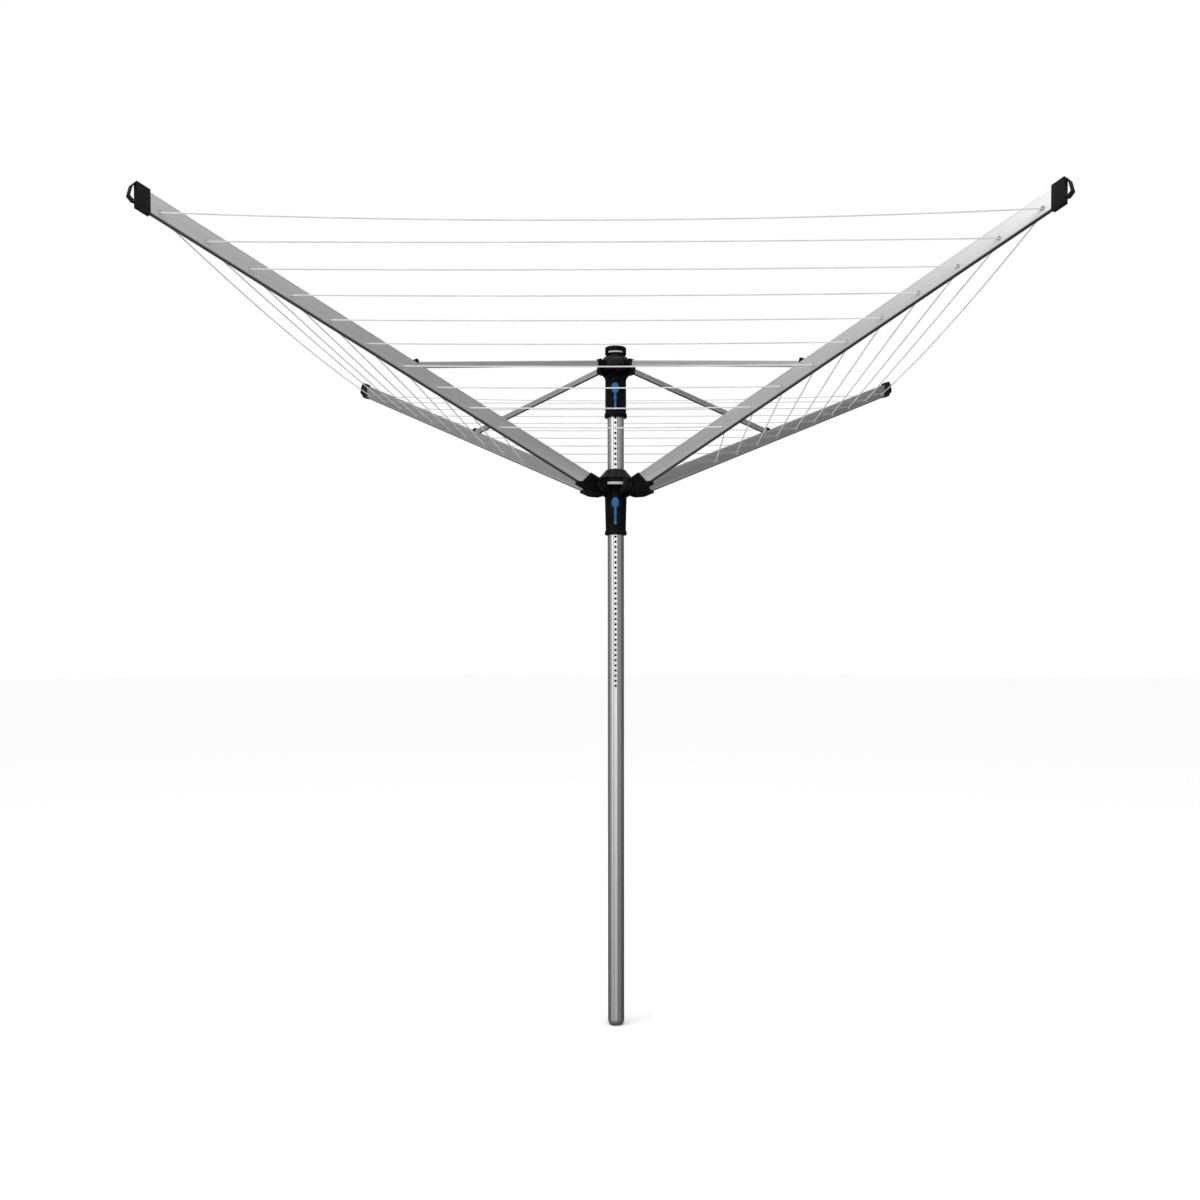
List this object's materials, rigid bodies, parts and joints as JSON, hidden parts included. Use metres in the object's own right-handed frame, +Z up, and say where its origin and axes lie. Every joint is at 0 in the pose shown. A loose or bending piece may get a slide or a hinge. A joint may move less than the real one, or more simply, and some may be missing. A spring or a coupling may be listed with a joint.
{
  "type": "rotary clothesline",
  "caption": "Rotary clothesline with a turning post, umbrella-folding arms on two sliding hubs, and plastic line strung between the arms.",
  "frame": {"origin": "middle of the foot's underside", "axes": "+Z up along the post; -Y is the front, which the hole row and both release levers face; the arms stand on the four diagonals"},
  "size_m": [2.0676, 2.0676, 2.1869],
  "materials": {
    "aluminium_post": "satin anodised with fine drawn lines",
    "aluminium_arm": "satin anodised",
    "aluminium_strut": "satin anodised",
    "black_plastic": "fine moulded grain",
    "black_cover": "semi-gloss",
    "blue_plastic": "semi-gloss",
    "natural_plastic": "natural acetal",
    "eyelet_plastic": "pale grey",
    "steel_pin": "zinc plated",
    "black_steel": "black passivated",
    "spring_steel": "blued spring steel",
    "badge_plastic": "plain pale grey",
    "line_pvc": "smooth plastic-covered line"
  },
  "bodies": {
    "foot": {"foot_bearing": "black_plastic", "foot_thrust_washer": "natural_plastic"},
    "post": {"post_tube": "aluminium_post", "foot_bush": "natural_plastic", "top_knob": "black_cover", "top_knob_inlay": "badge_plastic"},
    "upper_hub": {"upper_housing": "black_plastic", "upper_cover": "black_cover", "upper_slide_bush": "natural_plastic", "upper_strut_pins": "steel_pin", "upper_cover_screws": "steel_pin", "upper_lever_pin": "steel_pin", "upper_lever_spring": "spring_steel"},
    "upper_lever": {"upper_release_lever": "blue_plastic"},
    "lower_hub": {"lower_housing": "black_plastic", "lower_cover": "black_cover", "lower_slide_bush": "natural_plastic", "lower_arm_pin_stubs": "black_steel", "lower_cover_screws": "steel_pin", "lower_badge": "badge_plastic", "lower_lever_pin": "steel_pin", "lower_lever_spring": "spring_steel"},
    "lower_lever": {"lower_release_lever": "blue_plastic"},
    "front_left_strut": {"front_left_strut_bar": "aluminium_strut", "front_left_strut_inner_end": "black_plastic", "front_left_strut_outer_end": "black_plastic"},
    "front_left_arm": {"front_left_arm_channel": "aluminium_arm", "front_left_root_socket": "black_plastic", "front_left_eyelets": "eyelet_plastic", "front_left_arm_rivets": "steel_pin", "front_left_end_cap": "black_plastic", "front_lines": "line_pvc"},
    "front_right_strut": {"front_right_strut_bar": "aluminium_strut", "front_right_strut_inner_end": "black_plastic", "front_right_strut_outer_end": "black_plastic"},
    "front_right_arm": {"front_right_arm_channel": "aluminium_arm", "front_right_root_socket": "black_plastic", "front_right_eyelets": "eyelet_plastic", "front_right_arm_rivets": "steel_pin", "front_right_end_cap": "black_plastic", "right_lines": "line_pvc"},
    "back_right_strut": {"back_right_strut_bar": "aluminium_strut", "back_right_strut_inner_end": "black_plastic", "back_right_strut_outer_end": "black_plastic"},
    "back_right_arm": {"back_right_arm_channel": "aluminium_arm", "back_right_root_socket": "black_plastic", "back_right_eyelets": "eyelet_plastic", "back_right_arm_rivets": "steel_pin", "back_right_end_cap": "black_plastic", "back_lines": "line_pvc"},
    "back_left_strut": {"back_left_strut_bar": "aluminium_strut", "back_left_strut_inner_end": "black_plastic", "back_left_strut_outer_end": "black_plastic"},
    "back_left_arm": {"back_left_arm_channel": "aluminium_arm", "back_left_root_socket": "black_plastic", "back_left_eyelets": "eyelet_plastic", "back_left_arm_rivets": "steel_pin", "back_left_end_cap": "black_plastic", "left_lines": "line_pvc"}
  },
  "joints": [
    {"name": "post_spin", "type": "hinge", "parent": "foot", "child": "post", "pos_m": [0, 0, 0], "axis": [0, 0, 1], "continuous": true},
    {"name": "head_height", "type": "slide", "parent": "post", "child": "upper_hub", "axis": [0, 0, 1], "range_m": [-0.468, 0]},
    {"name": "upper_lever_press", "type": "hinge", "parent": "upper_hub", "child": "upper_lever", "pos_m": [0, -0.035, 1.9129], "axis": [-1, 0, 0], "range_deg": [0, 6], "stiffness_Nm_per_rad": 1.2, "springref_deg": -5.73, "deforming": ["upper_lever_spring"]},
    {"name": "lower_hub_slide", "type": "slide", "parent": "upper_hub", "child": "lower_hub", "axis": [0, 0, 1], "range_m": [-1.0183, 0]},
    {"name": "lower_lever_press", "type": "hinge", "parent": "lower_hub", "child": "lower_lever", "pos_m": [0, -0.035, 1.5697], "axis": [-1, 0, 0], "range_deg": [0, 6], "stiffness_Nm_per_rad": 1.2, "springref_deg": -5.73, "deforming": ["lower_lever_spring"]},
    {"name": "front_left_strut_fold", "type": "hinge", "parent": "upper_hub", "child": "front_left_strut", "pos_m": [-0.0297, -0.0297, 2.0182], "axis": [0.7071, -0.7071, 0], "range_deg": [0, 75.71], "deforming": ["front_lines", "right_lines", "back_lines", "left_lines"]},
    {"name": "front_left_arm_fold", "type": "hinge", "parent": "front_left_strut", "child": "front_left_arm", "pos_m": [-0.50962, -0.50962, 1.90422], "axis": [0.7071, -0.7071, 0], "range_deg": [-143.27, 0]},
    {"name": "front_right_strut_fold", "type": "hinge", "parent": "upper_hub", "child": "front_right_strut", "pos_m": [0.0297, -0.0297, 2.0182], "axis": [0.7071, 0.7071, 0], "range_deg": [0, 75.76]},
    {"name": "front_right_arm_fold", "type": "hinge", "parent": "front_right_strut", "child": "front_right_arm", "pos_m": [0.50962, -0.50962, 1.90422], "axis": [0.7071, 0.7071, 0], "range_deg": [-143.27, 0]},
    {"name": "back_right_strut_fold", "type": "hinge", "parent": "upper_hub", "child": "back_right_strut", "pos_m": [0.0297, 0.0297, 2.0182], "axis": [-0.7071, 0.7071, 0], "range_deg": [0, 75.76]},
    {"name": "back_right_arm_fold", "type": "hinge", "parent": "back_right_strut", "child": "back_right_arm", "pos_m": [0.50962, 0.50962, 1.90422], "axis": [-0.7071, 0.7071, 0], "range_deg": [-143.27, 0]},
    {"name": "back_left_strut_fold", "type": "hinge", "parent": "upper_hub", "child": "back_left_strut", "pos_m": [-0.0297, 0.0297, 2.0182], "axis": [-0.7071, -0.7071, 0], "range_deg": [0, 75.76]},
    {"name": "back_left_arm_fold", "type": "hinge", "parent": "back_left_strut", "child": "back_left_arm", "pos_m": [-0.50962, 0.50962, 1.90422], "axis": [-0.7071, -0.7071, 0], "range_deg": [-143.27, 0]}
  ],
  "couplings": [
    {"joint": "lower_hub_slide", "follows": "front_left_strut_fold", "m_per_rad": -0.77058},
    {"joint": "front_left_arm_fold", "follows": "front_left_strut_fold", "ratio": -1.8897},
    {"joint": "front_right_strut_fold", "follows": "front_left_strut_fold", "ratio": 1},
    {"joint": "front_right_arm_fold", "follows": "front_left_strut_fold", "ratio": -1.8897},
    {"joint": "back_right_strut_fold", "follows": "front_left_strut_fold", "ratio": 1},
    {"joint": "back_right_arm_fold", "follows": "front_left_strut_fold", "ratio": -1.8897},
    {"joint": "back_left_strut_fold", "follows": "front_left_strut_fold", "ratio": 1},
    {"joint": "back_left_arm_fold", "follows": "front_left_strut_fold", "ratio": -1.8897}
  ]
}
